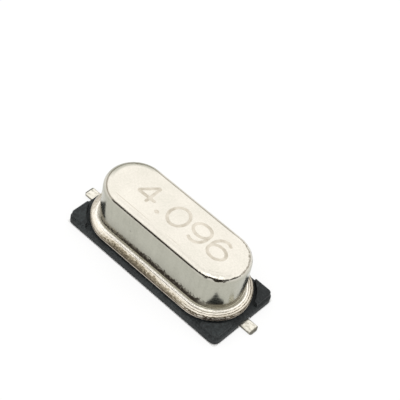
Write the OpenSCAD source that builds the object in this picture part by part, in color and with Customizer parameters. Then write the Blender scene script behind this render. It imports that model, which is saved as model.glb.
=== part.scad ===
// Surface-mount quartz crystal unit: a welded oval can on a moulded insulator.
// The underside of the two solder ribbons is z = 0, and the oval's centre is x = y = 0.
// X runs along the can, and the leads leave at both ends.

/* [Welded flange] */
// Length of the weld flange, which the rest of the can follows
flange_l = 10.95; // [9:0.05:13.2]
// Width of the weld flange
flange_w = 4.65; // [3.85:0.05:5.6]
// Width of the rim between the can's wall and the flange's edge
rim_w = 0.455; // [0.4:0.005:0.6]
// Thickness of the header's half of the flange
header_flange_t = 0.14; // [0.1:0.01:0.2]
// Thickness of the can's half of the flange, squeezed by the weld
can_flange_t = 0.22; // [0.16:0.01:0.26]
// Radius of the upper outer edge of the flange
flange_edge_r = 0.1; // [0.05:0.01:0.13]
// Radius of the two edges that meet at the weld seam
seam_edge_r = 0.03; // [0.01:0.005:0.04]

/* [Can] */
// Height of the can from the weld seam to its flat top
can_h = 2.94; // [2.35:0.01:3.55]
// Thickness of the drawn sheet
sheet_t = 0.2; // [0.1:0.01:0.25]
// Outer radius between the wall and the flat top
can_top_r = 0.43; // [0.3:0.01:0.55]
// How much the wall leans in from the flange to the top
can_draft = 0.03; // [0:0.005:0.06]
// Radius at the root of the wall
can_root_r = 0.13; // [0.08:0.01:0.2]

/* [Header] */
// Depth of the pan below the flange
pan_h = 0.16; // [0.09:0.01:0.3]
// Distance from the pan's wall to the flange's edge
pan_inset = 0.38; // [0.3:0.01:0.5]
// Height of the platform inside the can, above the seam
platform_h = 0.32; // [0.15:0.01:0.5]
// Gap between the platform and the inside of the can
platform_clear = 0.07; // [0.03:0.01:0.2]
// Rounding of the pan's and the platform's edges
header_edge_r = 0.06; // [0.03:0.01:0.08]

/* [Leads and seals] */
// Distance between the two leads
lead_pitch = 4.88; // [4:0.02:5.9]
// Diameter of the round lead wire
wire_d = 0.43; // [0.35:0.01:0.52]
// Diameter of each glass seal
seal_d = 1.3; // [1:0.05:1.6]
// How far the glass lies back from the pan's underside
seal_recess = 0.05; // [0:0.01:0.1]
// Width of the flattened solder ribbon
ribbon_w = 0.74; // [0.6:0.01:0.85]
// Thickness of the flattened ribbon
ribbon_t = 0.22; // [0.18:0.01:0.28]
// Inner radius of the bend under the can
bend_r = 0.1; // [0.06:0.01:0.15]
// How far the ribbon sticks out past the insulator
lead_reach = 0.78; // [0.4:0.02:1.2]
// How far the ribbon stands below the insulator
lead_proud = 0.1; // [0.05:0.01:0.14]
// Radius of the two corners of the ribbon's end, seen from above
tip_corner_r = 0.22; // [0.05:0.01:0.28]
// Radius with which the shears roll the upper edge of that end over
tip_roll_r = 0.1; // [0.03:0.01:0.15]
// Height of the wire above the platform
post_h = 0.25; // [0.15:0.01:0.4]
// Diameter of the flattened head on the wire
head_d = 0.8; // [0.6:0.05:1]
// Thickness of that head
head_t = 0.12; // [0.08:0.01:0.16]

/* [Insulator] */
// How far the insulator reaches past the flange at each end
base_end_margin = 0.29; // [0.2:0.005:0.5]
// How far it reaches past the flange on each long side
base_side_margin = 0.1; // [0.03:0.005:0.2]
// Radius of its four corners
base_corner_r = 0.41; // [0.3:0.01:0.5]
// Thickness of the plate under the can
plate_t = 0.42; // [0.35:0.01:0.6]
// Height of the four corner posts, plate included
post_block_h = 0.74; // [0.65:0.01:1]
// Ledge that the plate leaves round the corner posts
post_inset = 0.1; // [0.05:0.01:0.15]
// Radius of the outer corner of each post
post_corner_r = 0.25; // [0.15:0.01:0.4]
// Distance from the plate's end to the inner end of a corner post
post_block_l = 1.3; // [1:0.05:1.6]
// Distance from the plate's side to the inner side of a corner post
post_block_w = 1.4; // [1.1:0.05:1.6]
// Gap between the flange and the corner posts
post_clear = 0.22; // [0.1:0.01:0.25]
// Bevel on the top edges of plate and posts
base_edge = 0.09; // [0.03:0.01:0.12]
// Gap between the ribbon and each side of its groove
groove_side_clear = 0.15; // [0.1:0.01:0.3]
// Gap between the ribbon and the roof of its groove
groove_roof_clear = 0.07; // [0.03:0.01:0.1]
// Gap between the bend and the inner end of its window
window_clear = 0.45; // [0.2:0.01:0.6]
// Radius of the groove's inner corners
groove_corner_r = 0.14; // [0.08:0.01:0.2]

/* [Quartz and its mounting] */
// Gap between each end of the blank and the inside of the can
blank_end_clear = 0.82; // [0.6:0.01:1]
// Width of the blank
blank_w = 1.9; // [1.5:0.05:2.3]
// Thickness of the blank, which sets its frequency
blank_t = 0.405; // [0.32:0.005:0.5]
// Length of the bevel at each end of the blank
bevel_l = 1.4; // [1:0.05:1.6]
// Drop of that bevel
bevel_drop = 0.12; // [0.05:0.01:0.16]
// Height of the clip's shelf above the wire's head
shelf_rise = 0.68; // [0.5:0.01:0.8]
// Thickness of the clip's strip
clip_t = 0.1; // [0.06:0.01:0.15]
// Width of the clip's strip
clip_w = 1.2; // [0.9:0.05:1.4]
// Length of the shelf under the blank
shelf_l = 0.45; // [0.3:0.01:0.6]
// Height of the stop behind the blank's end, above the shelf
stop_h = 0.55; // [0.45:0.01:0.7]
// Gap between the blank's end and the stop
stop_clear = 0.1; // [0.05:0.01:0.15]
// Length of the electrode patch
electrode_l = 4.6; // [3:0.1:5.2]
// Width of the electrode patch
electrode_w = 1.4; // [1:0.05:1.6]
// Width of the electrode's tail
tail_w = 0.8; // [0.5:0.05:1]
// Thickness of the electrode film, drawn thicker than the real one
film_t = 0.02; // [0.015:0.005:0.03]
// Radius of the bead of conductive adhesive
bead_r = 0.32; // [0.25:0.01:0.4]
// Width of that bead
bead_w = 0.9; // [0.6:0.05:1.1]

/* [Hidden] */
$fn = 96;

// Plan: every oval has the same straight stretch, so all of them are concentric
straight = flange_l - flange_w;
flange_r = flange_w / 2;
wall_r = flange_r - rim_w;
cavity_r = wall_r - sheet_t;
pan_r = flange_r - pan_inset;
platform_r = cavity_r - platform_clear;
seal_r = seal_d / 2;
lead_x = lead_pitch / 2;

// Heights, upwards from the solder plane
base_z = lead_proud;
plate_top = base_z + plate_t;
pan_top = plate_top + pan_h;
seam_z = pan_top + header_flange_t;
rim_z = seam_z + can_flange_t;
top_z = seam_z + can_h;
platform_top = seam_z + platform_h;
head_z = platform_top + post_h;
clip_z = head_z + head_t;
shelf_z = clip_z + shelf_rise;
blank_z = shelf_z + film_t;
blank_top = blank_z + blank_t;

// Insulator
base_l = flange_l + 2 * base_end_margin;
base_w = flange_w + 2 * base_side_margin;
groove_w = ribbon_w + 2 * groove_side_clear;
groove_top = ribbon_t + groove_roof_clear;
bend_out_r = bend_r + ribbon_t;
bend_x = lead_x + ribbon_t / 2 + bend_r;
window_x = lead_x - ribbon_t / 2 - window_clear;
window_l = 2 * (lead_x - window_x);
lead_end = base_l / 2 + lead_reach;

// Quartz
blank_end = straight / 2 + cavity_r - blank_end_clear;
stop_x = blank_end + stop_clear;
shelf_x = blank_end - shelf_l;
clip_inner = head_d / 2;
clip_outer = head_d / 2 + clip_t / 2;

// Cuts run this far past the faces that they open
over = 0.5;

// A profile in the first quadrant carried once round an oval
module around_oval() {
    for (turn = [0, 180]) rotate([0, 0, turn]) {
        translate([straight / 2, 0, 0]) rotate([0, 0, -90])
            rotate_extrude(angle = 180) children();
        translate([-straight / 2, 0, 0]) rotate([90, 0, 90])
            linear_extrude(straight) children();
    }
}

// An oval of the shared straight stretch
module oval(r) {
    for (side = [-1, 1]) translate([side * straight / 2, 0]) circle(r);
    square([straight, 2 * r], center = true);
}

// A rectangle with four round corners
module rounded_rectangle(l, w, r) {
    square([l - 2 * r, w], center = true);
    square([l, w - 2 * r], center = true);
    for (x = [-1, 1], y = [-1, 1]) translate([x * (l / 2 - r), y * (w / 2 - r)]) circle(r);
}

// Half-width r and height h with a bevelled top edge
module bevelled_side(r, h, edge) {
    polygon([[0, 0], [r, 0], [r, h - edge], [r - edge, h], [0, h]]);
}

// A plate with round corners and one bevel all round its top edge
module bevelled_plate(l, w, r, h, edge) {
    for (turn = [0, 180]) rotate([0, 0, turn]) {
        rotate([90, 0, 90]) linear_extrude(l - 2 * r, center = true)
            bevelled_side(w / 2, h, edge);
        rotate([90, 0, 0]) linear_extrude(w - 2 * r, center = true)
            bevelled_side(l / 2, h, edge);
    }
    for (x = [-1, 1], y = [-1, 1]) translate([x * (l / 2 - r), y * (w / 2 - r), 0])
        rotate_extrude() bevelled_side(r, h, edge);
}

// What is left of a square corner outside a fillet of radius r; the corner is
// at the origin and the material lies towards -x and -y
module corner_waste(r) {
    difference() {
        translate([-r, -r]) square(r + over);
        translate([-r, -r]) circle(r);
    }
}

// What fills an inner corner with radius r; the material lies below y = 0 and
// on the -x side of x = 0
module root_fill(r) {
    difference() {
        translate([-r, -r]) square(2 * r);
        translate([r, r]) circle(r);
    }
}

// Moulded insulator: plate, four posts round the flange, two lead grooves
module insulator_base() {
    color([0.16, 0.17, 0.18])
    difference() {
        translate([0, 0, base_z]) {
            bevelled_plate(base_l, base_w, base_corner_r, plate_t, base_edge);
            corner_posts();
        }
        for (turn = [0, 180]) rotate([0, 0, turn]) lead_groove();
    }
}

module corner_posts() {
    intersection() {
        bevelled_plate(base_l - 2 * post_inset, base_w - 2 * post_inset, post_corner_r,
                       post_block_h, base_edge);
        for (x = [0, 1], y = [0, 1]) mirror([x, 0, 0]) mirror([0, y, 0])
            translate([base_l / 2 - post_block_l, base_w / 2 - post_block_w, plate_t / 2])
                cube([post_block_l + over, post_block_w + over, post_block_h]);
        difference() {
            linear_extrude(post_block_h) square([base_l + over, base_w + over], center = true);
            linear_extrude(post_block_h + over) oval(flange_r + post_clear);
        }
    }
}

// The groove is open at the end; its window over the bend goes right through
module lead_groove() {
    groove_l = base_l / 2 + groove_corner_r + over - window_x;
    translate([window_x + groove_l / 2, 0, base_z - over]) {
        linear_extrude(groove_top - base_z + over)
            rounded_rectangle(groove_l, groove_w, groove_corner_r);
    }
    translate([window_x + window_l / 2, 0, base_z - over])
        linear_extrude(plate_t + 2 * over)
            rounded_rectangle(window_l, groove_w, groove_corner_r);
}

// Stamped header: a pan below the flange, a platform above it, two seal holes
module header() {
    color([0.72, 0.71, 0.68])
    difference() {
        around_oval() header_profile();
        for (side = [-1, 1]) translate([side * lead_x, 0, plate_top - over])
            cylinder(r = seal_r, h = platform_top - plate_top + 2 * over);
    }
}

module header_profile() {
    difference() {
        union() {
            translate([0, plate_top]) square([pan_r, pan_h]);
            translate([0, pan_top]) square([flange_r, header_flange_t]);
            translate([0, pan_top]) square([platform_r, seam_z + platform_h - pan_top]);
        }
        translate([pan_r, plate_top]) mirror([0, 1]) corner_waste(header_edge_r);
        translate([platform_r, platform_top]) corner_waste(header_edge_r);
        translate([flange_r, pan_top]) mirror([0, 1]) corner_waste(header_edge_r);
        translate([flange_r, seam_z]) corner_waste(seam_edge_r);
    }
}

// Drawn can: flat top, leaning wall and its half of the weld flange
module cap() {
    color([0.8, 0.79, 0.76])
    around_oval() cap_profile();
}

module cap_profile() {
    lean_r = wall_r - can_draft;
    difference() {
        union() {
            polygon([[0, seam_z], [wall_r, seam_z], [lean_r, top_z - can_top_r],
                     [lean_r, top_z], [0, top_z]]);
            translate([0, seam_z]) square([flange_r, can_flange_t]);
            translate([wall_r, rim_z]) root_fill(can_root_r);
        }
        translate([lean_r, top_z]) corner_waste(can_top_r);
        translate([flange_r, rim_z]) corner_waste(flange_edge_r);
        translate([flange_r, seam_z]) mirror([0, 1]) corner_waste(seam_edge_r);
        cavity_profile();
    }
}

module cavity_profile() {
    lean_r = cavity_r - can_draft;
    ceiling = top_z - sheet_t;
    inner_r = can_top_r - sheet_t;
    difference() {
        polygon([[-over, seam_z - over], [cavity_r, seam_z - over], [cavity_r, seam_z],
                 [lean_r, ceiling - inner_r], [lean_r, ceiling], [-over, ceiling]]);
        translate([lean_r, ceiling]) corner_waste(inner_r);
    }
}

// Glass bead that insulates one lead from the header
module glass_seal(side) {
    color([0.12, 0.25, 0.24])
    translate([side * lead_x, 0, plate_top + seal_recess]) difference() {
        cylinder(r = seal_r, h = platform_top - plate_top - seal_recess);
        translate([0, 0, -over])
            cylinder(d = wire_d, h = platform_top - plate_top + 2 * over);
    }
}

module glass_seal_left() { glass_seal(-1); }
module glass_seal_right() { glass_seal(1); }

// One lead: head and round wire, coined shoulder, bend, flat solder ribbon
module lead(turn) {
    color([0.83, 0.81, 0.76])
    rotate([0, 0, turn]) {
        translate([lead_x, 0, bend_out_r]) cylinder(d = wire_d, h = head_z - bend_out_r);
        translate([lead_x, 0, head_z]) cylinder(d = head_d, h = head_t);
        coined_shoulder();
        translate([bend_x, 0, bend_out_r]) rotate([90, 0, 0]) rotate([0, 0, 180])
            rotate_extrude(angle = 90) translate([bend_r + ribbon_t / 2, 0])
                rotate([0, 0, 90]) ribbon_section();
        solder_ribbon();
    }
}

// A flattened round wire keeps round sides
module ribbon_section() {
    for (side = [-1, 1]) translate([side * (ribbon_w - ribbon_t) / 2, 0]) circle(d = ribbon_t);
    square([ribbon_w - ribbon_t, ribbon_t], center = true);
}

// The ribbon narrows to the round wire below the pan
module coined_shoulder() {
    rise = plate_top + seal_recess - bend_out_r;
    translate([lead_x, 0, bend_out_r]) intersection() {
        linear_extrude(rise) rotate([0, 0, 90]) ribbon_section();
        rotate([90, 0, 90]) linear_extrude(ribbon_t, center = true)
            polygon([[-ribbon_w / 2, 0], [ribbon_w / 2, 0], [wire_d / 2, rise], [-wire_d / 2, rise]]);
    }
}

// The flat part that is soldered, with its sheared end
module solder_ribbon() {
    difference() {
        intersection() {
            translate([bend_x, 0, ribbon_t / 2]) rotate([90, 0, 90])
                linear_extrude(lead_end - bend_x) ribbon_section();
            linear_extrude(ribbon_t) rounded_rectangle(2 * lead_end, ribbon_w, tip_corner_r);
        }
        translate([lead_end, ribbon_w, ribbon_t]) rotate([90, 0, 0])
            linear_extrude(2 * ribbon_w) corner_waste(tip_roll_r);
    }
}

module lead_left() { lead(180); }
module lead_right() { lead(0); }

// Bent strip from the wire's head to a shelf and a stop for the blank's end
module support_clip(turn) {
    color([0.6, 0.6, 0.58])
    rotate([0, 0, turn]) translate([0, clip_w / 2, 0]) rotate([90, 0, 0])
        linear_extrude(clip_w) polygon([
            [lead_x - clip_inner, clip_z], [lead_x + clip_outer, clip_z],
            [shelf_x + clip_t, shelf_z - clip_t], [stop_x + clip_t, shelf_z - clip_t],
            [stop_x + clip_t, shelf_z + stop_h], [stop_x, shelf_z + stop_h],
            [stop_x, shelf_z], [shelf_x, shelf_z],
            [lead_x + clip_outer - clip_t, clip_z + clip_t], [lead_x - clip_inner, clip_z + clip_t]]);
}

module support_clip_left() { support_clip(180); }
module support_clip_right() { support_clip(0); }

// Long section of the blank, flat below and bevelled at both ends above
module blank_section() {
    polygon([[-blank_end, blank_z], [blank_end, blank_z], [blank_end, blank_top - bevel_drop],
             [blank_end - bevel_l, blank_top], [bevel_l - blank_end, blank_top],
             [-blank_end, blank_top - bevel_drop]]);
}

// The film that lies on the blank's upper side
module upper_film_section() {
    difference() {
        translate([0, film_t]) blank_section();
        blank_section();
    }
}

// A section in the XZ plane, given width across the can
module across(w) {
    translate([0, w / 2, 0]) rotate([90, 0, 0]) linear_extrude(w) children();
}

module quartz_blank() {
    color([0.85, 0.9, 0.92])
    across(blank_w) blank_section();
}

// Patch in the middle with a tail to one end
module electrode_outline() {
    square([electrode_l, electrode_w], center = true);
    translate([0, -tail_w / 2]) square([blank_end, tail_w]);
}

module electrode_top() {
    color([0.86, 0.85, 0.82])
    intersection() {
        across(blank_w) upper_film_section();
        translate([0, 0, blank_z]) linear_extrude(blank_t + over) electrode_outline();
    }
}

module electrode_bottom() {
    color([0.86, 0.85, 0.82])
    translate([0, 0, shelf_z]) rotate([0, 0, 180]) linear_extrude(film_t) electrode_outline();
}

// Bead that ties the blank's end to the clip's stop
module adhesive(turn) {
    color([0.7, 0.69, 0.66])
    rotate([0, 0, turn]) across(bead_w) difference() {
        translate([blank_end, blank_top - bevel_drop]) circle(bead_r);
        translate([stop_x, shelf_z - over]) square([over, stop_h + 2 * over]);
        translate([blank_end - over, shelf_z - over]) square([2 * over, over]);
        translate([0, film_t]) blank_section();
        blank_section();
        translate([0, shelf_z]) square([blank_end, film_t]);
    }
}

module adhesive_left() { adhesive(180); }
module adhesive_right() { adhesive(0); }

insulator_base();
header();
cap();
glass_seal_left();
glass_seal_right();
lead_left();
lead_right();
support_clip_left();
support_clip_right();
quartz_blank();
electrode_top();
electrode_bottom();
adhesive_left();
adhesive_right();
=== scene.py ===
"""The looks of a surface-mount quartz crystal: welded oval can, moulded insulator, tinned leads.

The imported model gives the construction. This script adds the number on the can, the finish of every
surface, the studio round it and the camera.
"""

import math

import bmesh
import bpy
import numpy as np
from mathutils import Matrix, Vector


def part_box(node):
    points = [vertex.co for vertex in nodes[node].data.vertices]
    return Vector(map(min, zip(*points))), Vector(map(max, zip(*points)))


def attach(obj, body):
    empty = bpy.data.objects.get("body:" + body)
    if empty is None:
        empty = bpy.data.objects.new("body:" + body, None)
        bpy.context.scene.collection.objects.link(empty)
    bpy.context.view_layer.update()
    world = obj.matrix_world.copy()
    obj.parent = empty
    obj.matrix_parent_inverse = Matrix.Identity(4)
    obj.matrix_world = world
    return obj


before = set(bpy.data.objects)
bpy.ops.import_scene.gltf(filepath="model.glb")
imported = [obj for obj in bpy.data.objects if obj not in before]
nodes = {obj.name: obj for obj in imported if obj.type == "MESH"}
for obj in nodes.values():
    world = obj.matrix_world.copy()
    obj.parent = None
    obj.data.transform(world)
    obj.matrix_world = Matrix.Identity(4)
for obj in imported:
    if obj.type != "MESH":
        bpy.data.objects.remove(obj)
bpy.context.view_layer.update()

MM = 0.001
WHITE = "#ffffff"
HEAT_STAIN = "#4a342b"


# ---------------------------------------------------------------- helpers

# Settings that many nodes share: a soft step, a mix of two colours and a product
SOFT = {"interpolation_type": "SMOOTHSTEP"}
RGBA = {"data_type": "RGBA"}
TIMES = {"operation": "MULTIPLY"}


def linear(hex_colour):
    """The linear RGBA of an sRGB hex colour such as "#c8beb0"."""
    parts = np.array([int(hex_colour[i : i + 2], 16) for i in (1, 3, 5)]) / 255
    rgb = np.where(parts <= 0.04045, parts / 12.92, ((parts + 0.055) / 1.055) ** 2.4)
    return [*rgb.tolist(), 1.0]


def socket_of(value):
    """A node's first output in place of the node; any other value as it is."""
    return value.outputs[0] if isinstance(value, bpy.types.Node) else value


def add(tree, kind, settings=None, inputs=None, stops=()):
    """Adds a node with its settings and inputs; a node or socket given as an input becomes a link.

    Stops are the (place, hex colour) steps of a colour ramp.
    """
    made = tree.nodes.new(kind)
    for name, value in (settings or {}).items():
        setattr(made, name, value)
    for name, value in (inputs or {}).items():
        value = socket_of(value)
        if isinstance(value, bpy.types.NodeSocket):
            tree.links.new(value, made.inputs[name])
        else:
            made.inputs[name].default_value = value
    if stops:
        elements = made.color_ramp.elements
        while len(elements) < len(stops):
            elements.new(0.5)
        for element, (place, colour) in zip(elements, stops):
            element.position = place
            element.color = linear(colour)
    return made


def new_material(name, colour, **shader):
    """A material with one Principled shader, its colour and constants set on its own sockets."""
    material = bpy.data.materials.new(name)
    material.use_nodes = True
    tree = material.node_tree
    principled = tree.nodes["Principled BSDF"]
    principled.inputs["Base Color"].default_value = linear(colour)
    for socket, value in shader.items():
        principled.inputs[socket.replace("_", " ")].default_value = value
    return material, tree, principled


def dress(tree, principled, colour, roughness=None, height=None, lift=MM):
    """Links the patterns to the shader; the height pattern, 0 to 1, stands for a relief of lift metres."""
    tree.links.new(socket_of(colour), principled.inputs["Base Color"])
    if roughness is not None:
        tree.links.new(socket_of(roughness), principled.inputs["Roughness"])
    if height is not None:
        bump = add(tree, "ShaderNodeBump", None, {"Distance": lift, "Height": height})
        tree.links.new(bump.outputs["Normal"], principled.inputs["Normal"])


def in_millimetres(tree):
    """The place on the part in millimetres."""
    place = add(tree, "ShaderNodeTexCoord").outputs["Object"]
    return add(tree, "ShaderNodeVectorMath", {"operation": "SCALE"}, {0: place, "Scale": 1 / MM}).outputs[0]


# ---------------------------------------------------------------- sizes

# The outer corner of the moulded base, in metres
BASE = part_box("insulator_base")[1]
CAN_LOW, CAN_HIGH = (np.array(corner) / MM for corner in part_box("cap"))
# Half of the oval's straight side, and the heights of the weld seam, of the rim and of the can's top, in mm
HALF_SIDE = float((CAN_HIGH[0] - CAN_LOW[0]) - (CAN_HIGH[1] - CAN_LOW[1])) / 2
SEAM, RIM, TOP = float(CAN_LOW[2]), float(CAN_LOW[2]) + 0.22, float(CAN_HIGH[2])
# Distances from the oval's centre line, in mm: the wall, where the way round is measured, the flange's edge
WALL_R, WAY_R, FLANGE_R = 1.87, 2.0, float(CAN_HIGH[1])
# How far the leads reach from the middle, and half the width of their strip, in mm
REACH, RIBBON = (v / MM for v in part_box("lead_right")[1][:2])


# ---------------------------------------------------------------- studio

# The room's colour, the tent's light, and what the front panel adds to it
ROOM = "#bdb8b0"
TENT = 1.35
PANEL = 0.75
# Half of the floor's side in metres, and how much of its white is its own glow
FLOOR_HALF = 1.5
GLOW = 0.8
# The card's gap to the can's wall and the heights of its two edges, in mm
CARD_GAP = 2.0
CARD_LOW, CARD_HIGH = 3.45, 4.55


def make_world():
    """A pale room with a white tent overhead, soft at its edge, and a brighter panel in its front.

    The light rises from the room's to the tent's between 24 and 31 degrees above the horizon and falls a
    little towards the zenith. The panel is a soft cone, full within 14 degrees of its middle and gone at 31;
    the middle is 48 degrees up and 20 degrees right of the front. The camera sees white in place of all this,
    and so do metal and glass up to 5 degrees above the horizon, less and less of it up to 13.
    """
    world = bpy.data.worlds.new("studio_tent")
    bpy.context.scene.world = world
    world.use_nodes = True
    tree = world.node_tree
    place = add(tree, "ShaderNodeTexCoord").outputs["Generated"]
    height = add(tree, "ShaderNodeSeparateXYZ", None, {0: place}).outputs["Z"]
    tent = add(tree, "ShaderNodeMapRange", SOFT, {"Value": height, "From Min": 0.4, "From Max": 0.52})
    zenith = add(
        tree,
        "ShaderNodeMapRange",
        SOFT,
        {"Value": height, "From Min": 0.82, "From Max": 0.99, "To Max": 0.14},
    )
    turn = math.radians(20)
    panel = Vector((math.sin(turn), -math.cos(turn), 1.1)).normalized()
    towards = add(tree, "ShaderNodeVectorMath", {"operation": "DOT_PRODUCT"}, {0: place, 1: panel})
    front = add(
        tree,
        "ShaderNodeMapRange",
        SOFT,
        {"Value": towards.outputs["Value"], "From Min": 0.86, "From Max": 0.97, "To Max": PANEL},
    )
    level = add(tree, "ShaderNodeMath", {"operation": "SUBTRACT"}, {0: front, 1: zenith})
    level = add(tree, "ShaderNodeMath", {"operation": "ADD"}, {0: level, 1: TENT})
    light = add(tree, "ShaderNodeMix", RGBA, {0: tent, 6: linear(ROOM), 7: level})
    rays = add(tree, "ShaderNodeLightPath").outputs
    low = add(tree, "ShaderNodeMapRange", SOFT, {"Value": height, "From Min": 0.22, "From Max": 0.08})
    seen = add(
        tree,
        "ShaderNodeMath",
        {"operation": "MAXIMUM"},
        {0: rays["Is Glossy Ray"], 1: rays["Is Transmission Ray"]},
    )
    seen = add(tree, "ShaderNodeMath", TIMES, {0: seen, 1: low})
    seen = add(tree, "ShaderNodeMath", {"operation": "MAXIMUM"}, {0: seen, 1: rays["Is Camera Ray"]})
    shown = add(tree, "ShaderNodeMix", RGBA, {0: seen, 6: light.outputs[2], 7: linear(WHITE)})
    tree.links.new(shown.outputs[2], tree.nodes["Background"].inputs["Color"])


def make_floor():
    """A wide white sheet under the part, which shows near white and keeps a share of the part's shadow."""
    mesh = bpy.data.meshes.new("floor")
    corners = [(x * FLOOR_HALF, y * FLOOR_HALF, 0) for x, y in ((-1, -1), (1, -1), (1, 1), (-1, 1))]
    mesh.from_pydata(corners, [], [(0, 1, 2, 3)])
    floor = bpy.data.objects.new("floor", mesh)
    bpy.context.scene.collection.objects.link(floor)
    # coated white paper: matt and faintly uneven over 11 mm
    material, tree, paper = new_material("white paper", "#fafafa", Roughness=0.9)
    place = add(tree, "ShaderNodeTexCoord").outputs["Object"]
    grain = add(tree, "ShaderNodeTexNoise", None, {"Vector": place, "Scale": 90.0})
    tone = add(tree, "ShaderNodeValToRGB", None, {0: grain}, [(0.3, "#f8f8f7"), (0.7, "#fcfcfb")])
    dress(tree, paper, colour=tone)
    rays = add(tree, "ShaderNodeLightPath").outputs
    seen = rays["Is Camera Ray"]
    for name in ("Is Glossy Ray", "Is Transmission Ray"):
        seen = add(tree, "ShaderNodeMath", {"operation": "MAXIMUM"}, {0: seen, 1: rays[name]})
    share = add(tree, "ShaderNodeMath", TIMES, {0: seen, 1: GLOW})
    # no glow within the part's outline, so that the windows beside the leads look dark
    x, y, _ = add(tree, "ShaderNodeSeparateXYZ", None, {0: place}).outputs
    compare = {"operation": "COMPARE"}
    along = add(tree, "ShaderNodeMath", compare, {0: x, 1: 0.0, 2: BASE[0]})
    across = add(tree, "ShaderNodeMath", compare, {0: y, 1: 0.0, 2: BASE[1]})
    under = add(tree, "ShaderNodeMath", TIMES, {0: along, 1: across})
    open_sheet = add(tree, "ShaderNodeMath", {"operation": "SUBTRACT"}, {0: 1.0, 1: under})
    share = add(tree, "ShaderNodeMath", TIMES, {0: share, 1: open_sheet})
    white = add(tree, "ShaderNodeEmission", None, {"Color": linear(WHITE), "Strength": 1.0})
    both = add(tree, "ShaderNodeMixShader", None, {0: share, 1: paper, 2: white})
    tree.links.new(both.outputs[0], tree.nodes["Material Output"].inputs["Surface"])
    mesh.materials.append(material)


def make_card():
    """A black card that shades only what the can's top edge shows of the low front.

    It stands upright on an oval 2 mm outside the can's wall: along the whole -y side, on round the left end
    for 22 degrees and round the right end for 100, between z = 3.45 and 4.55 mm.
    """
    radius = (WALL_R + CARD_GAP) * MM
    turns = np.linspace(-112, -90, 9), np.linspace(-90, 10, 33)
    angle = np.radians(np.concatenate(turns))
    middle = np.repeat([-HALF_SIDE, HALF_SIDE], [len(turn) for turn in turns]) * MM
    ring = np.stack([middle + radius * np.cos(angle), radius * np.sin(angle)], axis=1)
    steps = len(ring)
    low = np.column_stack([ring, np.full(steps, CARD_LOW * MM)])
    high = np.column_stack([ring, np.full(steps, CARD_HIGH * MM)])
    faces = [(i, i + 1, steps + i + 1, steps + i) for i in range(steps - 1)]
    mesh = bpy.data.meshes.new("black_card")
    mesh.from_pydata(np.vstack([low, high]).tolist(), [], faces)
    card = bpy.data.objects.new("black_card", mesh)
    bpy.context.scene.collection.objects.link(card)
    # dyed card: dull, with a faint fibre of 2.5 mm
    material, tree, fibre = new_material("black card", "#2a241c", Roughness=0.9)
    place = add(tree, "ShaderNodeTexCoord").outputs["Object"]
    grain = add(tree, "ShaderNodeTexNoise", None, {"Vector": place, "Scale": 400.0})
    tone = add(tree, "ShaderNodeValToRGB", None, {0: grain}, [(0.3, "#272119"), (0.7, "#2d271f")])
    dress(tree, fibre, colour=tone)
    mesh.materials.append(material)
    # it is so near that it may show in the metal only
    card.visible_camera = False
    card.visible_diffuse = False
    card.visible_shadow = False


def make_camera():
    """A lens of 119 mm that looks down at the part over its front right corner, rolled 13 degrees."""
    azimuth, elevation, roll = (math.radians(a) for a in (33.249, 48.130, 13.130))
    level, height = math.cos(elevation), math.sin(elevation)
    back = Vector((math.sin(azimuth) * level, -math.cos(azimuth) * level, height))
    right = Vector((math.cos(azimuth), math.sin(azimuth), 0))
    turned = Matrix.Rotation(roll, 3, back) @ Matrix((right, back.cross(right), back)).transposed()
    data = bpy.data.cameras.new("camera")
    data.lens = 119.3
    data.sensor_width = 36
    camera = bpy.data.objects.new("camera", data)
    bpy.context.scene.collection.objects.link(camera)
    stand = Vector((26.589, -38.825, 58.026)) * MM
    camera.matrix_world = Matrix.Translation(stand) @ turned.to_4x4()
    data.clip_start = 1 * MM
    bpy.context.scene.camera = camera


# ---------------------------------------------------------------- the can


def on_the_can(tree):
    """The place, its x, y and z, the distance from the oval's centre line and the way round the oval, in mm.

    The distance is the length of (how far |x| lies past the straight side, y). The way round is |x| along the
    straight side plus WAY_R times the angle round the end, with the sign of x.
    """
    place = in_millimetres(tree)
    x, y, z = add(tree, "ShaderNodeSeparateXYZ", None, {0: place}).outputs
    far = add(tree, "ShaderNodeMath", {"operation": "ABSOLUTE"}, {0: x})
    past = add(tree, "ShaderNodeMath", {"operation": "SUBTRACT"}, {0: far, 1: HALF_SIDE})
    past = add(tree, "ShaderNodeMath", {"operation": "MAXIMUM"}, {0: past, 1: 0.0})
    flat = add(tree, "ShaderNodeCombineXYZ", None, {0: past, 1: y})
    distance = add(tree, "ShaderNodeVectorMath", {"operation": "LENGTH"}, {0: flat}).outputs["Value"]
    side = add(tree, "ShaderNodeMath", {"operation": "ABSOLUTE"}, {0: y})
    angle = add(tree, "ShaderNodeMath", {"operation": "ARCTAN2"}, {0: past, 1: side})
    straight = add(tree, "ShaderNodeMath", {"operation": "MINIMUM"}, {0: far, 1: HALF_SIDE})
    way = add(tree, "ShaderNodeMath", {"operation": "MULTIPLY_ADD"}, {0: angle, 1: WAY_R, 2: straight})
    sign = add(tree, "ShaderNodeMath", {"operation": "SIGN"}, {0: x})
    way = add(tree, "ShaderNodeMath", TIMES, {0: way, 1: sign})
    return place, (x, y, z), distance, way.outputs[0]


def streaks(tree, distance, way, z, along, across, detail=4.0):
    """Noise drawn out along the way round the oval; along and across are its frequencies, per mm."""
    spread = add(tree, "ShaderNodeCombineXYZ", None, {0: way, 1: distance, 2: z})
    spread = add(tree, "ShaderNodeVectorMath", TIMES, {0: spread, 1: (along, across, across)})
    return add(
        tree, "ShaderNodeTexNoise", None, {"Vector": spread, "Scale": 1.0, "Detail": detail}
    ).outputs[0]


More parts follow.
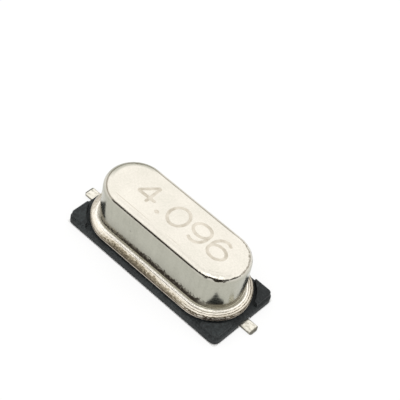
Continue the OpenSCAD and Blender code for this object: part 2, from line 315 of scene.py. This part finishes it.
def nickel_can():
    """Nickel-plated steel, drawn and then welded.

    The eye sees a pale warm metal with a slight orange peel on the top and painted reflections at its rounded
    edge: a faint grey line where the flat top meets it, a grey band round the -x end and a ragged dark line
    round the +x end. The wall is painted greyer than the top for the shaded floor it reflects and darker
    still in its lower half, with faint upright draw marks. The rim is left brown and streaked round the oval
    by the weld, painted darker outwards and brighter along the wall, and the wall's foot holds a sooty band
    with painted shade.
    """
    material, tree, metal = new_material("nickel plated drawn steel", "#d9d4c9", Metallic=1.0, Roughness=0.2)
    place, (x, y, z), distance, way = on_the_can(tree)

    # clouds of 1.5 mm and a fine grain of 0.12 mm in the plating
    cloud = add(tree, "ShaderNodeTexNoise", None, {"Vector": place, "Scale": 0.7, "Detail": 3.0})
    grain = add(tree, "ShaderNodeTexNoise", None, {"Vector": place, "Scale": 8.0, "Detail": 2.0})
    mottle = add(tree, "ShaderNodeMix", None, {0: 0.45, 2: cloud, 3: grain})
    top = add(
        tree,
        "ShaderNodeValToRGB",
        None,
        {0: mottle},
        [(0.34, "#d2cec2"), (0.5, "#d9d4c9"), (0.66, "#dfdacf")],
    )

    # faint upright draw marks 0.3 mm apart, five times longer than wide
    drawn = streaks(tree, distance, way, z, 3.2, 0.6)
    worked = add(tree, "ShaderNodeMix", None, {0: 0.65, 2: drawn, 3: mottle})
    # the wall's tone is painted greyer than the top's, a painted reflection of the shaded floor near the part
    wall = add(
        tree,
        "ShaderNodeValToRGB",
        None,
        {0: worked},
        [(0.34, "#a9a89b"), (0.5, "#b3b2a5"), (0.66, "#bab9ac")],
    )
    # the top's tone takes over from the wall's painted greyer tone on the rounded edge
    upper = add(tree, "ShaderNodeMapRange", SOFT, {"Value": z, "From Min": TOP - 0.36, "From Max": TOP - 0.1})
    colour = add(tree, "ShaderNodeMix", RGBA, {0: upper, 6: wall, 7: top}).outputs[2]

    # painted reflection: a faint broken grey line on the top, 0.5 mm inside the -y wall, where the flat top
    # turns into the rounded edge
    painted_tangent_line = add(tree, "ShaderNodeMath", {"operation": "COMPARE"}, {0: distance, 1: WALL_R - 0.5, 2: 0.03})
    broken = add(
        tree, "ShaderNodeMapRange", SOFT, {"Value": cloud, "From Min": 0.4, "From Max": 0.6, "To Max": 0.4}
    )
    front = add(tree, "ShaderNodeMapRange", SOFT, {"Value": y, "From Min": -0.6, "From Max": -1.3})
    for mask in (upper, front, broken):
        painted_tangent_line = add(tree, "ShaderNodeMath", TIMES, {0: painted_tangent_line, 1: mask})
    colour = add(tree, "ShaderNodeMix", RGBA, {0: painted_tangent_line, 6: colour, 7: linear("#b5ac9c")}).outputs[2]

    # painted reflection: the rounded edge is painted greyer where it turns round the -x end
    painted_grey_bend = add(
        tree,
        "ShaderNodeMapRange",
        SOFT,
        {"Value": distance, "From Min": WALL_R - 0.6, "From Max": WALL_R - 0.44},
    )
    left = add(tree, "ShaderNodeVectorMath", {"operation": "DOT_PRODUCT"}, {0: place, 1: (-0.84, 0.54, 0.0)})
    left = add(
        tree,
        "ShaderNodeMapRange",
        SOFT,
        {"Value": left.outputs["Value"], "From Min": 3.1, "From Max": 3.9, "To Max": 0.85},
    )
    for mask in (left, upper):
        painted_grey_bend = add(tree, "ShaderNodeMath", TIMES, {0: painted_grey_bend, 1: mask})
    colour = add(tree, "ShaderNodeMix", RGBA, {0: painted_grey_bend, 6: colour, 7: linear("#a5a497")}).outputs[2]

    # painted reflection: a ragged dark line up to 0.14 mm wide along the top edge where it turns round the +x
    # end, deepening the dark line that the edge reflects there
    line_noise = add(tree, "ShaderNodeTexNoise", None, {"Vector": place, "Scale": 3.4, "Detail": 3.0})
    wide = add(
        tree, "ShaderNodeMapRange", None, {"Value": line_noise, "From Min": 0.4, "From Max": 0.62, "To Max": 0.07}
    )
    painted_dark_line = add(tree, "ShaderNodeMath", {"operation": "COMPARE"}, {0: z, 1: TOP - 0.22, 2: wide})
    begun = add(tree, "ShaderNodeMapRange", SOFT, {"Value": way, "From Min": 3.4, "From Max": 3.9})
    ended = add(tree, "ShaderNodeMapRange", SOFT, {"Value": way, "From Min": 5.4, "From Max": 5.0})
    for mask in (begun, ended, front):
        painted_dark_line = add(tree, "ShaderNodeMath", TIMES, {0: painted_dark_line, 1: mask})
    colour = add(tree, "ShaderNodeMix", RGBA, {0: painted_dark_line, 6: colour, 7: linear("#2f2a22")}).outputs[2]

    # the weld's wheel leaves the rim freckled brown, ringed at the +x end; the rim is also painted darker
    # outwards, a painted reflection of the low front beyond its crown, and paler at -x
    flecked = streaks(tree, distance, way, z, 8.0, 11.0)
    grooved = streaks(tree, distance, way, z, 0.6, 8.0, detail=2.0)
    ringed = add(
        tree,
        "ShaderNodeMapRange",
        SOFT,
        {"Value": x, "From Min": 1.8, "From Max": 4.0, "To Min": 0.2, "To Max": 0.85},
    )
    rolled = add(tree, "ShaderNodeMix", None, {0: ringed, 2: flecked, 3: grooved})
    outwards = add(
        tree,
        "ShaderNodeMapRange",
        None,
        {"Value": distance, "From Min": WALL_R + 0.1, "From Max": FLANGE_R, "To Min": 0.01, "To Max": 0.26},
    )
    paler_at_minus_x = add(
        tree, "ShaderNodeMapRange", SOFT, {"Value": x, "From Min": -2.0, "From Max": -3.8, "To Max": 0.24}
    )
    paler = add(
        tree, "ShaderNodeMapRange", SOFT, {"Value": x, "From Min": -0.5, "From Max": 2.5, "To Max": 0.09}
    )
    rim_marks_and_light = add(tree, "ShaderNodeMath", {"operation": "MULTIPLY_ADD"}, {0: rolled, 1: 0.7, 2: outwards})
    for less in (paler, paler_at_minus_x):
        rim_marks_and_light = add(tree, "ShaderNodeMath", {"operation": "SUBTRACT"}, {0: rim_marks_and_light, 1: less})
    # at the +x end there are grooves 0.14 mm apart, broken up by the freckles, the rim's side is paler, and
    # the painted darkening hardly deepens outwards
    turn = add(tree, "ShaderNodeMath", TIMES, {0: flecked, 1: 5.0})
    turn = add(tree, "ShaderNodeMath", {"operation": "MULTIPLY_ADD"}, {0: distance, 1: 46.0, 2: turn})
    wave = add(tree, "ShaderNodeMath", {"operation": "SINE"}, {0: turn})
    groove = add(
        tree,
        "ShaderNodeMapRange",
        SOFT,
        {"Value": wave, "From Min": 0.4, "From Max": 0.95, "To Min": -0.1, "To Max": 0.36},
    )
    end = add(tree, "ShaderNodeMapRange", SOFT, {"Value": x, "From Min": 2.6, "From Max": 3.8})
    side = add(
        tree,
        "ShaderNodeMapRange",
        SOFT,
        {"Value": z, "From Min": RIM - 0.03, "From Max": RIM - 0.1, "To Max": -0.16},
    )
    level = add(tree, "ShaderNodeMath", {"operation": "MULTIPLY_ADD"}, {0: outwards, 1: -0.65, 2: 0.09})
    for change in (groove, side, level):
        rim_marks_and_light = add(tree, "ShaderNodeMath", {"operation": "MULTIPLY_ADD"}, {0: change, 1: end, 2: rim_marks_and_light})
    # painted highlight: the rim is painted brighter along the wall
    root = add(
        tree,
        "ShaderNodeMapRange",
        SOFT,
        {"Value": distance, "From Min": WALL_R + 0.2, "From Max": WALL_R + 0.1, "To Max": -0.3},
    )
    rim_marks_and_light = add(tree, "ShaderNodeMath", {"operation": "ADD"}, {0: root, 1: rim_marks_and_light})
    rim = add(
        tree,
        "ShaderNodeValToRGB",
        None,
        {0: rim_marks_and_light},
        [
            (0.1, "#f2ede3"),
            (0.2, "#e6e0d4"),
            (0.38, "#dad2c3"),
            (0.46, "#b2a894"),
            (0.54, "#8b816e"),
            (0.62, "#665d4d"),
        ],
    )
    on_rim = add(
        tree, "ShaderNodeMapRange", SOFT, {"Value": z, "From Min": RIM + 0.11, "From Max": RIM + 0.02}
    )
    colour = add(tree, "ShaderNodeMix", RGBA, {0: on_rim, 6: colour, 7: rim}).outputs[2]

    # rust-brown heat stain at the weld seam
    seam = add(
        tree, "ShaderNodeMapRange", SOFT, {"Value": z, "From Min": SEAM + 0.05, "From Max": SEAM + 0.02}
    )
    colour = add(tree, "ShaderNodeMix", RGBA, {0: seam, 6: colour, 7: linear(HEAT_STAIN)}).outputs[2]

    # painted shade: the lower half of the wall is painted darker, away from the +x end, for the shaded floor
    # near the part that it reflects
    painted_low_shade = add(
        tree,
        "ShaderNodeMapRange",
        SOFT,
        {"Value": z, "From Min": RIM + 1.5, "From Max": RIM + 0.3, "To Max": 0.42},
    )
    clear = add(tree, "ShaderNodeMapRange", SOFT, {"Value": x, "From Min": 4.0, "From Max": 2.6})
    foot = add(tree, "ShaderNodeMapRange", SOFT, {"Value": z, "From Min": RIM + 0.18, "From Max": RIM + 0.3})
    for mask in (clear, foot):
        painted_low_shade = add(tree, "ShaderNodeMath", TIMES, {0: painted_low_shade, 1: mask})
    colour = add(tree, "ShaderNodeMix", RGBA, {0: painted_low_shade, 6: colour, 7: linear("#86837a")}).outputs[2]

    # partly soot and partly painted shade for the dark reflection just above the wall's root: ragged, darkest
    # low down, less on the +y wall and none at the two ends
    ragged = add(
        tree, "ShaderNodeTexNoise", None, {"Vector": place, "Scale": 6.0, "Detail": 5.0, "Roughness": 0.7}
    )
    reach = add(
        tree,
        "ShaderNodeMapRange",
        SOFT,
        {"Value": x, "From Min": -4.2, "From Max": 1.5, "To Min": -0.42, "To Max": -0.14},
    )
    crest = add(tree, "ShaderNodeMath", {"operation": "MULTIPLY_ADD"}, {0: ragged, 1: 1.6, 2: reach})
    crest = add(tree, "ShaderNodeMath", {"operation": "ADD"}, {0: crest, 1: RIM})
    inside = add(tree, "ShaderNodeMath", {"operation": "SUBTRACT"}, {0: crest, 1: z})
    soot_and_shade = add(tree, "ShaderNodeMapRange", SOFT, {"Value": inside, "From Min": -0.06, "From Max": 0.14})
    from_minus_x_end = add(
        tree, "ShaderNodeMapRange", SOFT, {"Value": x, "From Min": -4.7, "From Max": -3.7, "To Max": 0.95}
    )
    spared = add(tree, "ShaderNodeMapRange", SOFT, {"Value": x, "From Min": 4.4, "From Max": 3.4})
    behind = add(
        tree, "ShaderNodeMapRange", SOFT, {"Value": y, "From Min": 1.5, "From Max": 0.0, "To Min": 0.4}
    )
    for mask in (foot, from_minus_x_end, spared, behind):
        soot_and_shade = add(tree, "ShaderNodeMath", TIMES, {0: soot_and_shade, 1: mask})
    colour = add(tree, "ShaderNodeMix", RGBA, {0: soot_and_shade, 6: colour, 7: linear("#2a2117")}).outputs[2]

    # a few sooty specks, 0.1 mm wide, higher up on the -y wall towards the -x end
    speck = add(tree, "ShaderNodeTexVoronoi", None, {"Vector": place, "Scale": 1.9})
    speck = add(
        tree, "ShaderNodeMapRange", SOFT, {"Value": speck, "From Min": 0.16, "From Max": 0.08, "To Max": 0.8}
    )
    there = add(tree, "ShaderNodeMapRange", SOFT, {"Value": x, "From Min": -0.5, "From Max": -1.6})
    lower = add(tree, "ShaderNodeMapRange", SOFT, {"Value": z, "From Min": RIM + 1.7, "From Max": RIM + 1.1})
    for mask in (lower, foot, front):
        there = add(tree, "ShaderNodeMath", TIMES, {0: there, 1: mask})
    speck = add(tree, "ShaderNodeMath", TIMES, {0: speck, 1: there})
    colour = add(tree, "ShaderNodeMix", RGBA, {0: speck, 6: colour, 7: linear("#4a4740")}).outputs[2]

    # a satin gloss on the plating, duller out on the rim and in the sooty, painted-shade band at the foot
    rough = add(
        tree,
        "ShaderNodeMapRange",
        None,
        {"Value": mottle, "From Min": 0.3, "From Max": 0.7, "To Min": 0.13, "To Max": 0.22},
    )
    scuffed = add(
        tree,
        "ShaderNodeMapRange",
        SOFT,
        {"Value": distance, "From Min": FLANGE_R - 0.12, "From Max": FLANGE_R, "To Min": 0.26, "To Max": 0.6},
    )
    rough = add(tree, "ShaderNodeMix", None, {0: on_rim, 2: rough, 3: scuffed})
    rough = add(tree, "ShaderNodeMix", None, {0: soot_and_shade, 2: rough, 3: 0.55})

    # heights in mm: an orange peel of 0.4 mm, stronger round the top's edge at the +x end, and on the rim the
    # wheel's marks on a crown that falls 0.135 mm outwards
    peel = add(tree, "ShaderNodeTexNoise", None, {"Vector": place, "Scale": 2.4, "Detail": 2.0})
    shoulder = add(
        tree,
        "ShaderNodeMapRange",
        SOFT,
        {"Value": distance, "From Min": 1.35, "From Max": 1.55, "To Max": 0.06},
    )
    shoulder = add(tree, "ShaderNodeMath", TIMES, {0: shoulder, 1: upper})
    ripple = add(tree, "ShaderNodeMath", {"operation": "MULTIPLY_ADD"}, {0: shoulder, 1: end, 2: 0.005})
    peel = add(tree, "ShaderNodeMath", TIMES, {0: peel, 1: ripple})
    crown = add(
        tree,
        "ShaderNodeMapRange",
        None,
        {"Value": distance, "From Min": WALL_R + 0.14, "From Max": FLANGE_R, "To Max": -0.135},
    )
    marks = add(tree, "ShaderNodeMath", {"operation": "MULTIPLY_ADD"}, {0: rolled, 1: 0.025, 2: crown})
    relief = add(tree, "ShaderNodeMix", None, {0: on_rim, 2: peel, 3: marks})
    dress(tree, metal, colour=colour, roughness=rough, height=relief, lift=MM)
    return material


def stained_header():
    """The same plated steel, stamped, and browned by the weld where the can is joined to it."""
    material, tree, metal = new_material(
        "nickel plated stamped steel", "#b9b0a2", Metallic=1.0, Roughness=0.3
    )
    _, (_, _, z), distance, way = on_the_can(tree)
    # stamping marks 0.11 mm apart and 0.7 mm long
    marks = streaks(tree, distance, way, z, 1.4, 9.0)
    tone = add(
        tree, "ShaderNodeValToRGB", None, {0: marks}, [(0.3, "#a39b8e"), (0.5, "#c6beb1"), (0.7, "#d6cec1")]
    )
    seam = add(
        tree, "ShaderNodeMapRange", SOFT, {"Value": z, "From Min": SEAM - 0.03, "From Max": SEAM - 0.01}
    )
    edge = add(tree, "ShaderNodeMath", {"operation": "GREATER_THAN"}, {0: distance, 1: WALL_R})
    stain = add(tree, "ShaderNodeMath", TIMES, {0: seam, 1: edge})
    colour = add(tree, "ShaderNodeMix", RGBA, {0: stain, 6: tone, 7: linear(HEAT_STAIN)}).outputs[2]
    rough = add(tree, "ShaderNodeMapRange", None, {"Value": marks, "To Min": 0.22, "To Max": 0.42})
    rough = add(tree, "ShaderNodeMix", None, {0: edge, 2: rough, 3: 0.6})
    dress(tree, metal, colour=colour, roughness=rough, height=marks, lift=0.004 * MM)
    return material


# ---------------------------------------------------------------- other finishes


def black_thermoset():
    """Mineral-filled thermoset, moulded in a spark-eroded tool.

    The eye sees a near-black with a cold cast, matt, with an even fine grain and faint lighter flow clouds.
    """
    material, tree, plastic = new_material(
        "black moulded thermoset", "#282b2c", Roughness=0.65, IOR=1.52, Specular_IOR_Level=0.25
    )
    place = in_millimetres(tree)
    cloud = add(tree, "ShaderNodeTexNoise", None, {"Vector": place, "Scale": 0.9, "Detail": 4.0})
    # spark-eroded pits are about 0.02 mm; drawn 0.1 mm so that they show
    grain = add(tree, "ShaderNodeTexNoise", None, {"Vector": place, "Scale": 9.0, "Detail": 3.0})
    mottle = add(tree, "ShaderNodeMix", None, {0: 0.6, 2: cloud, 3: grain})
    tone = add(
        tree,
        "ShaderNodeValToRGB",
        None,
        {0: mottle},
        [(0.38, "#191c1d"), (0.5, "#272a2b"), (0.62, "#363b3c")],
    )
    rough = add(
        tree,
        "ShaderNodeMapRange",
        None,
        {"Value": grain, "From Min": 0.3, "From Max": 0.7, "To Min": 0.55, "To Max": 0.75},
    )
    dress(tree, plastic, colour=tone, roughness=rough, height=grain, lift=0.012 * MM)
    return material


def tinned_copper():
    """Coined wire with electroplated matt tin.

    The eye sees a bright, slightly warm white metal with grey freckles and soft lengthwise marks.
    """
    material, tree, metal = new_material("tin plated coined wire", "#ddd8cc", Metallic=1.0, Roughness=0.3)
    place = in_millimetres(tree)
    # freckles of 0.15 mm in the tin, and the coining's marks 0.08 mm apart and 0.8 mm long
    freckle = add(tree, "ShaderNodeTexNoise", None, {"Vector": place, "Scale": 6.5, "Detail": 3.0})
    drawn = add(tree, "ShaderNodeVectorMath", TIMES, {0: place, 1: (1.2, 12.0, 6.0)})
    long_marks = add(tree, "ShaderNodeTexNoise", None, {"Vector": drawn, "Scale": 1.0})
    mottle = add(tree, "ShaderNodeMix", None, {0: 0.35, 2: freckle, 3: long_marks})
    tone = add(
        tree,
        "ShaderNodeValToRGB",
        None,
        {0: mottle},
        [(0.36, "#aeab9f"), (0.44, "#d2cec1"), (0.56, "#e3dfd3")],
    )
    # painted shade: the strip's two edges, and its tip 0.07 mm further in, are painted a darker grey for the
    # rounded edges that the light leaves dark
    x, y, _ = add(tree, "ShaderNodeSeparateXYZ", None, {0: place}).outputs
    far = add(tree, "ShaderNodeMath", {"operation": "ABSOLUTE"}, {0: x})
    side = add(tree, "ShaderNodeMath", {"operation": "ABSOLUTE"}, {0: y})
    tip = add(tree, "ShaderNodeMath", {"operation": "SUBTRACT"}, {0: far, 1: REACH - RIBBON - 0.07})
    inmost = add(tree, "ShaderNodeMath", {"operation": "MAXIMUM"}, {0: tip, 1: side})
    painted_edge_shade = add(
        tree,
        "ShaderNodeMapRange",
        SOFT,
        {"Value": inmost, "From Min": RIBBON - 0.08, "From Max": RIBBON - 0.01, "To Max": 0.9},
    )
    tone = add(tree, "ShaderNodeMix", RGBA, {0: painted_edge_shade, 6: tone, 7: linear("#5a574d")}).outputs[2]
    rough = add(
        tree,
        "ShaderNodeMapRange",
        None,
        {"Value": freckle, "From Min": 0.3, "From Max": 0.7, "To Min": 0.42, "To Max": 0.22},
    )
    dress(tree, metal, colour=tone, roughness=rough, height=mottle, lift=0.01 * MM)
    return material


def sealing_glass():
    """Compression sealing glass, fused in place: a dark green gloss with small bubbles."""
    material, tree, glass = new_material("dark sealing glass", "#1b2a25", Roughness=0.12, IOR=1.52)
    place = in_millimetres(tree)
    # bubbles 0.04 mm wide, one in every 0.11 mm
    bubble = add(tree, "ShaderNodeTexVoronoi", None, {"Vector": place, "Scale": 9.0})
    tone = add(
        tree, "ShaderNodeValToRGB", None, {0: bubble}, [(0.05, "#3b4f48"), (0.2, "#1b2a25"), (0.8, "#16221e")]
    )
    wave = add(tree, "ShaderNodeTexNoise", None, {"Vector": place, "Scale": 3.0})
    rough = add(tree, "ShaderNodeMapRange", None, {"Value": wave, "To Min": 0.08, "To Max": 0.2})
    dress(tree, glass, colour=tone, roughness=rough, height=wave, lift=0.01 * MM)
    return material


def rolled_strip():
    """Nickel silver strip for the clips: grey-yellow, with fine rolling lines 0.07 mm apart along x."""
    material, tree, metal = new_material("rolled nickel silver", "#b8b3a2", Metallic=1.0, Roughness=0.3)
    place = in_millimetres(tree)
    drawn = add(tree, "ShaderNodeVectorMath", TIMES, {0: place, 1: (0.8, 14.0, 0.8)})
    lines = add(tree, "ShaderNodeTexNoise", None, {"Vector": drawn, "Scale": 1.0, "Detail": 3.0})
    tone = add(tree, "ShaderNodeValToRGB", None, {0: lines}, [(0.3, "#a39e8d"), (0.7, "#c6c1b0")])
    rough = add(tree, "ShaderNodeMapRange", None, {"Value": lines, "To Min": 0.22, "To Max": 0.4})
    dress(tree, metal, colour=tone, roughness=rough, height=lines, lift=0.003 * MM)
    return material


def lapped_quartz():
    """Synthetic quartz, lapped: clear inside, with a frost from the abrasive on its faces."""
    material, tree, stone = new_material(
        "lapped quartz", "#f1f5f6", Roughness=0.3, IOR=1.544, Transmission_Weight=1.0
    )
    place = in_millimetres(tree)
    # the abrasive's pits are about 0.01 mm; drawn 0.08 mm so that they show
    frost = add(tree, "ShaderNodeTexNoise", None, {"Vector": place, "Scale": 12.0, "Detail": 3.0})
    tone = add(tree, "ShaderNodeValToRGB", None, {0: frost}, [(0.3, "#e9eef0"), (0.7, "#f7f9fa")])
    rough = add(tree, "ShaderNodeMapRange", None, {"Value": frost, "To Min": 0.2, "To Max": 0.42})
    dress(tree, stone, colour=tone, roughness=rough, height=frost, lift=0.003 * MM)
    return material


def silver_film():
    """Evaporated silver on the lapped blank: white, satin, with a fine grain from the stone under it."""
    material, tree, metal = new_material("evaporated silver", "#ebe7de", Metallic=1.0, Roughness=0.25)
    place = in_millimetres(tree)
    # as coarse as the lapped stone's pits, which it covers
    grain = add(tree, "ShaderNodeTexNoise", None, {"Vector": place, "Scale": 12.0, "Detail": 3.0})
    tone = add(tree, "ShaderNodeValToRGB", None, {0: grain}, [(0.3, "#e0dbd0"), (0.7, "#f2efe8")])
    rough = add(tree, "ShaderNodeMapRange", None, {"Value": grain, "To Min": 0.16, "To Max": 0.36})
    dress(tree, metal, colour=tone, roughness=rough, height=grain, lift=0.002 * MM)
    return material


def silver_adhesive():
    """Epoxy filled with silver flake: a dull grey paste with bright specks of flake."""
    material, tree, paste = new_material("silver filled epoxy", "#a8a59c", Metallic=0.6, Roughness=0.5)
    place = in_millimetres(tree)
    # flakes are about 0.01 mm; drawn 0.06 mm so that they show
    flake = add(tree, "ShaderNodeTexVoronoi", None, {"Vector": place, "Scale": 16.0})
    tone = add(
        tree, "ShaderNodeValToRGB", None, {0: flake}, [(0.1, "#d4d1c8"), (0.35, "#a8a59c"), (0.9, "#8b887f")]
    )
    rough = add(tree, "ShaderNodeMapRange", None, {"Value": flake, "To Min": 0.4, "To Max": 0.62})
    dress(tree, paste, colour=tone, roughness=rough, height=flake, lift=0.01 * MM)
    return material


def etched_nickel():
    """The number's strokes, where a laser has roughened the plating: a duller, browner line of the metal."""
    material, tree, metal = new_material("laser etched nickel", "#ccc5b7", Metallic=1.0, Roughness=0.38)
    place = in_millimetres(tree)
    # the laser's burn varies over 0.45 mm, and down to 0.015 mm
    burn = add(tree, "ShaderNodeTexNoise", None, {"Vector": place, "Scale": 2.2, "Detail": 5.0})
    tone = add(
        tree, "ShaderNodeValToRGB", None, {0: burn}, [(0.34, "#b9b1a2"), (0.5, "#ccc5b7"), (0.66, "#d9d2c5")]
    )
    rough = add(tree, "ShaderNodeMapRange", None, {"Value": burn, "To Min": 0.3, "To Max": 0.5})
    dress(tree, metal, colour=tone, roughness=rough, height=burn, lift=0.006 * MM)
    return material


# ---------------------------------------------------------------- the number

# The width of a stroke, in mm
STROKE = 0.23


def evenly(points, count):
    """Count points at even steps along a polyline, by linear interpolation over its length."""
    points = np.asarray(points, dtype=float)
    run = np.concatenate([[0], np.cumsum(np.linalg.norm(np.diff(points, axis=0), axis=1))])
    at = np.linspace(0, run[-1], count)
    return np.stack([np.interp(at, run, points[:, k]) for k in (0, 1)], axis=1), at


def arc(centre, radii, start, end, count=49):
    """Points of an ellipse between two angles in degrees."""
    angle = np.radians(np.linspace(start, end, count))
    return np.stack([centre[0] + radii[0] * np.cos(angle), centre[1] + radii[1] * np.sin(angle)], axis=1)


def stroke(points, closed=False, count=72, rise=0.0, wide=STROKE):
    """A low bead along a path on the can's top.

    The profile is (u, v) = (-1, -3), (-0.8, 1), (0.8, 1), (1, -3), where u is in half stroke widths across
    the path and v in micrometres from the top. The width, wide in mm, follows a circle over the last half
    width at each end of an open path. Rise lifts one bead, in mm, above another that it crosses.
    """
    path, at = evenly(points, count)
    if closed:
        path = path[:-1]
        ahead = np.roll(path, -1, axis=0) - np.roll(path, 1, axis=0)
        width = np.ones(len(path))
    else:
        ahead = np.gradient(path, axis=0)
        rest = np.minimum(at, at[-1] - at) / (wide / 2)
        width = np.sqrt(np.clip(1 - (1 - np.clip(rest, 0, 1)) ** 2, 0, 1))
    ahead /= np.linalg.norm(ahead, axis=1, keepdims=True)
    aside = np.stack([-ahead[:, 1], ahead[:, 0]], axis=1)
    profile = np.array([(-1, -0.003), (-0.8, 0.001), (0.8, 0.001), (1, -0.003)])
    flat = path[:, None] + aside[:, None] * (profile[None, :, :1] * width[:, None, None] * wide / 2)
    high = np.broadcast_to(TOP + rise + profile[:, 1], flat.shape[:2])
    rows, columns = flat.shape[:2]
    grid = np.arange(rows * columns).reshape(rows, columns)
    a = grid if closed else grid[:-1]
    b = np.roll(grid, -1, axis=0) if closed else grid[1:]
    faces = np.stack([a, b, np.roll(b, -1, axis=1), np.roll(a, -1, axis=1)], axis=2).reshape(-1, 4)
    return np.dstack([flat, high]).reshape(-1, 3) * MM, faces


def make_number(material):
    """The plain number 4.096 along the can, one bead for each line or loop, with its places in mm."""
    nine, six, nought = (1.53, 0.10), (3.03, 0.10), (0.02, 0.06)
    nine_top = (nine[0], nine[1] + 0.25)
    six_bowl = (six[0], six[1] - 0.25)
    strokes = [
        # the four's stem, slope and bar
        stroke([(-1.94, -0.60), (-2.0, 0.78)]),
        stroke([(-2.0, 0.78), (-2.83, -0.25)], rise=0.0005),
        stroke([(-2.83, -0.25), (-1.52, -0.20)], rise=0.001),
        # the point
        stroke([(-1.19, -0.61), (-0.87, -0.61)], count=33, wide=0.3),
        # the nought, then the nine's loop and tail and the six's
        stroke(arc(nought, (0.61, 0.69), 0, 360), closed=True),
        stroke(arc(nine_top, (0.57, 0.44), 0, 360), closed=True),
        stroke(arc(nine, (0.57, 0.69), 20, -128), rise=0.0005),
        stroke(arc(six_bowl, (0.57, 0.44), 0, 360), closed=True),
        stroke(arc(six, (0.57, 0.69), 52, 200), rise=0.0005),
    ]
    places, faces, count = [], [], 0
    for stroke_places, stroke_faces in strokes:
        places.append(stroke_places)
        faces.append(stroke_faces + count)
        count += len(stroke_places)
    mesh = bpy.data.meshes.new("number_on_top")
    mesh.from_pydata(np.vstack(places).tolist(), [], np.vstack(faces).tolist())
    shape = bmesh.new()
    shape.from_mesh(mesh)
    # a bead narrows to a point at its ends, where the places across it become one
    bmesh.ops.remove_doubles(shape, verts=shape.verts, dist=0.0002 * MM)
    bmesh.ops.recalc_face_normals(shape, faces=shape.faces)
    shape.to_mesh(mesh)
    shape.free()
    number = bpy.data.objects.new("number_on_top", mesh)
    bpy.context.scene.collection.objects.link(number)
    mesh.materials.append(material)
    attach(number, "root")


# ---------------------------------------------------------------- assembly


def finish(material, *names):
    """Gives CAD nodes their material."""
    for name in names:
        for slot in nodes[name].material_slots:
            slot.material = material


finish(nickel_can(), "cap")
finish(stained_header(), "header")
finish(black_thermoset(), "insulator_base")
finish(tinned_copper(), "lead_left", "lead_right")
finish(sealing_glass(), "glass_seal_left", "glass_seal_right")
finish(rolled_strip(), "support_clip_left", "support_clip_right")
finish(lapped_quartz(), "quartz_blank")
finish(silver_film(), "electrode_top", "electrode_bottom")
finish(silver_adhesive(), "adhesive_left", "adhesive_right")
make_number(etched_nickel())

make_world()
make_floor()
make_card()
make_camera()

bpy.context.scene.view_settings.view_transform = "Standard"
